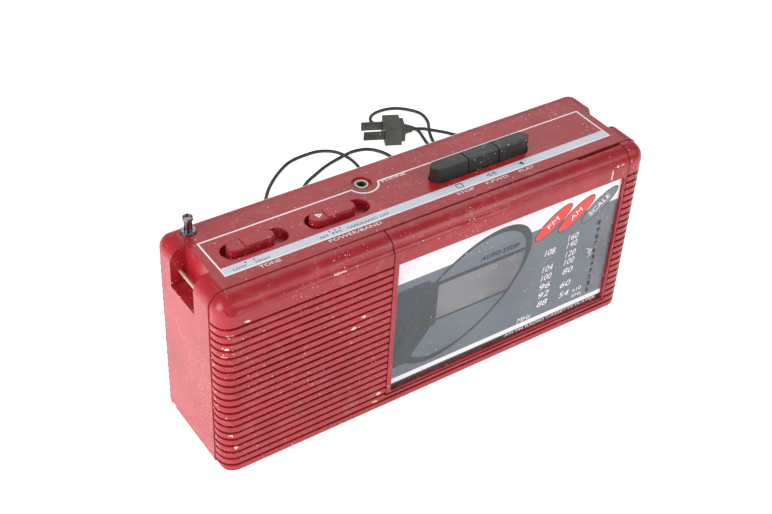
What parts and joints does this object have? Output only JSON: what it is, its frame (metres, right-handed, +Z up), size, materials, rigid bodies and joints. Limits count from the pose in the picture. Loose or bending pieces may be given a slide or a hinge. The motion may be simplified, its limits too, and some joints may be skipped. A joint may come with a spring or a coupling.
{
  "type": "radio cassette player",
  "caption": "Portable radio cassette player with a ribbed cabinet, hinged cassette door, press keys, slide knobs, telescopic aerial and a mains lead.",
  "frame": {"origin": "on the floor, under the middle of the cabinet", "axes": "+X along the width towards the cassette door, the front faces -Y, +Z up"},
  "size_m": [0.3034, 0.2572, 0.1273],
  "materials": {
    "red_plastic": "worn satin gloss, moulded red",
    "clear_plastic": "clear, scratched",
    "printed_plate": "printed grey and white",
    "black_plastic": "satin black",
    "red_marker": "satin red",
    "white_plastic": "satin off-white",
    "chrome_metal": "plated, dulled",
    "steel_sheet": "plain zinc-plated",
    "brass_metal": "dull",
    "black_rubber": "matt black",
    "circuit_board": "plain brown laminate",
    "dark_ferrite": "matt dark grey",
    "copper_winding": "lacquered copper wire",
    "paper_cone": "matt paper"
  },
  "bodies": {
    "cabinet": {"front_shell": "red_plastic", "rear_shell": "red_plastic", "deck_cover": "black_plastic", "key_levers_guide": "steel_sheet", "tone_switch": "steel_sheet", "band_switch": "steel_sheet", "switch_board": "circuit_board", "phone_jack": "black_plastic", "jack_nut": "white_plastic", "aerial_ferrule": "chrome_metal", "aerial_base_tube": "chrome_metal", "left_strap_bar": "brass_metal", "right_strap_bar": "brass_metal", "deck_chassis": "steel_sheet", "drive_belt": "black_rubber", "motor": "steel_sheet", "tuning_gang": "white_plastic", "volume_pot": "steel_sheet", "main_board": "circuit_board", "board_parts": "black_plastic", "ferrite_rod": "dark_ferrite", "ferrite_coil": "copper_winding", "speaker_basket": "steel_sheet", "speaker_cone": "paper_cone", "speaker_magnet": "dark_ferrite", "transformer": "dark_ferrite", "battery_springs": "steel_sheet", "battery_contacts": "steel_sheet", "case_screws": "steel_sheet", "small_screws": "steel_sheet", "cord_relief": "black_rubber", "cord_lead_in": "black_rubber", "cord_coil": "black_rubber", "cord_tie": "black_plastic", "cord_loops": "black_rubber", "mains_plug": "black_rubber", "plug_blades": "brass_metal"},
    "cassette_door": {"cassette_door": "red_plastic", "dial_window": "clear_plastic", "dial_plate": "printed_plate"},
    "stop_key": {"stop_key": "black_plastic"},
    "ffwd_key": {"ffwd_key": "black_plastic"},
    "play_key": {"play_key": "black_plastic"},
    "tone_knob": {"tone_knob": "red_plastic"},
    "band_knob": {"band_knob": "red_plastic"},
    "aerial_section_1": {"aerial_section_1": "chrome_metal"},
    "aerial_section_2": {"aerial_section_2": "chrome_metal"},
    "aerial_rod": {"aerial_rod": "chrome_metal"},
    "head_plate": {"head_plate": "steel_sheet", "tape_head": "steel_sheet"},
    "pinch_roller": {"pinch_roller": "black_rubber"},
    "flywheel": {"flywheel": "steel_sheet"},
    "motor_pulley": {"motor_pulley": "brass_metal"},
    "idler_wheel": {"idler_wheel": "black_rubber"},
    "takeup_spindle": {"takeup_spindle": "white_plastic"},
    "supply_spindle": {"supply_spindle": "white_plastic"},
    "tuning_wheel": {"tuning_wheel": "black_plastic"},
    "dial_pointer": {"dial_pointer": "red_marker"},
    "volume_wheel": {"volume_wheel": "black_plastic"},
    "battery_door": {"battery_door": "red_plastic"}
  },
  "joints": [
    {"name": "door_hinge", "type": "hinge", "parent": "cabinet", "child": "cassette_door", "pos_m": [0.0435, -0.0324, 0.0121], "axis": [1, 0, 0], "range_deg": [0, 45]},
    {"name": "stop_key_press", "type": "slide", "parent": "cabinet", "child": "stop_key", "axis": [0, 0, -1], "range_m": [0, 0.004], "stiffness_N_per_m": 250, "springref_m": -0.004},
    {"name": "ffwd_key_press", "type": "slide", "parent": "cabinet", "child": "ffwd_key", "axis": [0, 0, -1], "range_m": [0, 0.004], "stiffness_N_per_m": 250, "springref_m": -0.004},
    {"name": "play_key_press", "type": "slide", "parent": "cabinet", "child": "play_key", "axis": [0, 0, -1], "range_m": [0, 0.004], "stiffness_N_per_m": 250, "springref_m": -0.004},
    {"name": "tone_slide", "type": "slide", "parent": "cabinet", "child": "tone_knob", "axis": [1, 0, 0], "range_m": [0, 0.0048]},
    {"name": "band_slide", "type": "slide", "parent": "cabinet", "child": "band_knob", "axis": [1, 0, 0], "range_m": [0, 0.0064]},
    {"name": "aerial_1_slide", "type": "slide", "parent": "cabinet", "child": "aerial_section_1", "axis": [0, 0, 1], "range_m": [0, 0.088]},
    {"name": "aerial_2_slide", "type": "slide", "parent": "aerial_section_1", "child": "aerial_section_2", "axis": [0, 0, 1], "range_m": [0, 0.088]},
    {"name": "aerial_rod_slide", "type": "slide", "parent": "aerial_section_2", "child": "aerial_rod", "axis": [0, 0, 1], "range_m": [0, 0.088]},
    {"name": "head_plate_slide", "type": "slide", "parent": "cabinet", "child": "head_plate", "axis": [0, 0, -1], "range_m": [0, 0.004]},
    {"name": "pinch_roller_spin", "type": "hinge", "parent": "head_plate", "child": "pinch_roller", "pos_m": [-0.01, -0.02, 0.0987], "axis": [0, 1, 0], "continuous": true},
    {"name": "flywheel_spin", "type": "hinge", "parent": "cabinet", "child": "flywheel", "pos_m": [-0.01, -0.01, 0.087], "axis": [0, 1, 0], "continuous": true},
    {"name": "motor_spin", "type": "hinge", "parent": "cabinet", "child": "motor_pulley", "pos_m": [-0.01, -0.01, 0.049], "axis": [0, 1, 0], "continuous": true},
    {"name": "idler_spin", "type": "hinge", "parent": "cabinet", "child": "idler_wheel", "pos_m": [-0.00558, -0.012, 0.07631], "axis": [0, 1, 0], "continuous": true},
    {"name": "takeup_spin", "type": "hinge", "parent": "cabinet", "child": "takeup_spindle", "pos_m": [0.00075, -0.02, 0.061], "axis": [0, 1, 0], "continuous": true},
    {"name": "supply_spin", "type": "hinge", "parent": "cabinet", "child": "supply_spindle", "pos_m": [0.04325, -0.02, 0.061], "axis": [0, 1, 0], "continuous": true},
    {"name": "tuning_turn", "type": "hinge", "parent": "cabinet", "child": "tuning_wheel", "pos_m": [0.1235, -0.012, 0.038], "axis": [0, 1, 0], "range_deg": [-96, 204]},
    {"name": "pointer_slide", "type": "slide", "parent": "cabinet", "child": "dial_pointer", "axis": [0, 0, 1], "range_m": [-0.016, 0.034]},
    {"name": "volume_turn", "type": "hinge", "parent": "cabinet", "child": "volume_wheel", "pos_m": [0.1295, -0.012, 0.078], "axis": [0, 1, 0], "range_deg": [0, 280]},
    {"name": "battery_door_hinge", "type": "hinge", "parent": "cabinet", "child": "battery_door", "pos_m": [0, 0.0339, 0.00809], "axis": [-1, 0, 0], "range_deg": [0, 90]}
  ],
  "couplings": [
    {"joint": "head_plate_slide", "follows": "play_key_press", "ratio": 1},
    {"joint": "motor_spin", "follows": "flywheel_spin", "ratio": 5},
    {"joint": "idler_spin", "follows": "flywheel_spin", "ratio": -0.77311},
    {"joint": "takeup_spin", "follows": "flywheel_spin", "ratio": 0.5},
    {"joint": "pinch_roller_spin", "follows": "flywheel_spin", "ratio": -0.15385},
    {"joint": "pointer_slide", "follows": "tuning_turn", "m_per_rad": 0.0095493}
  ]
}
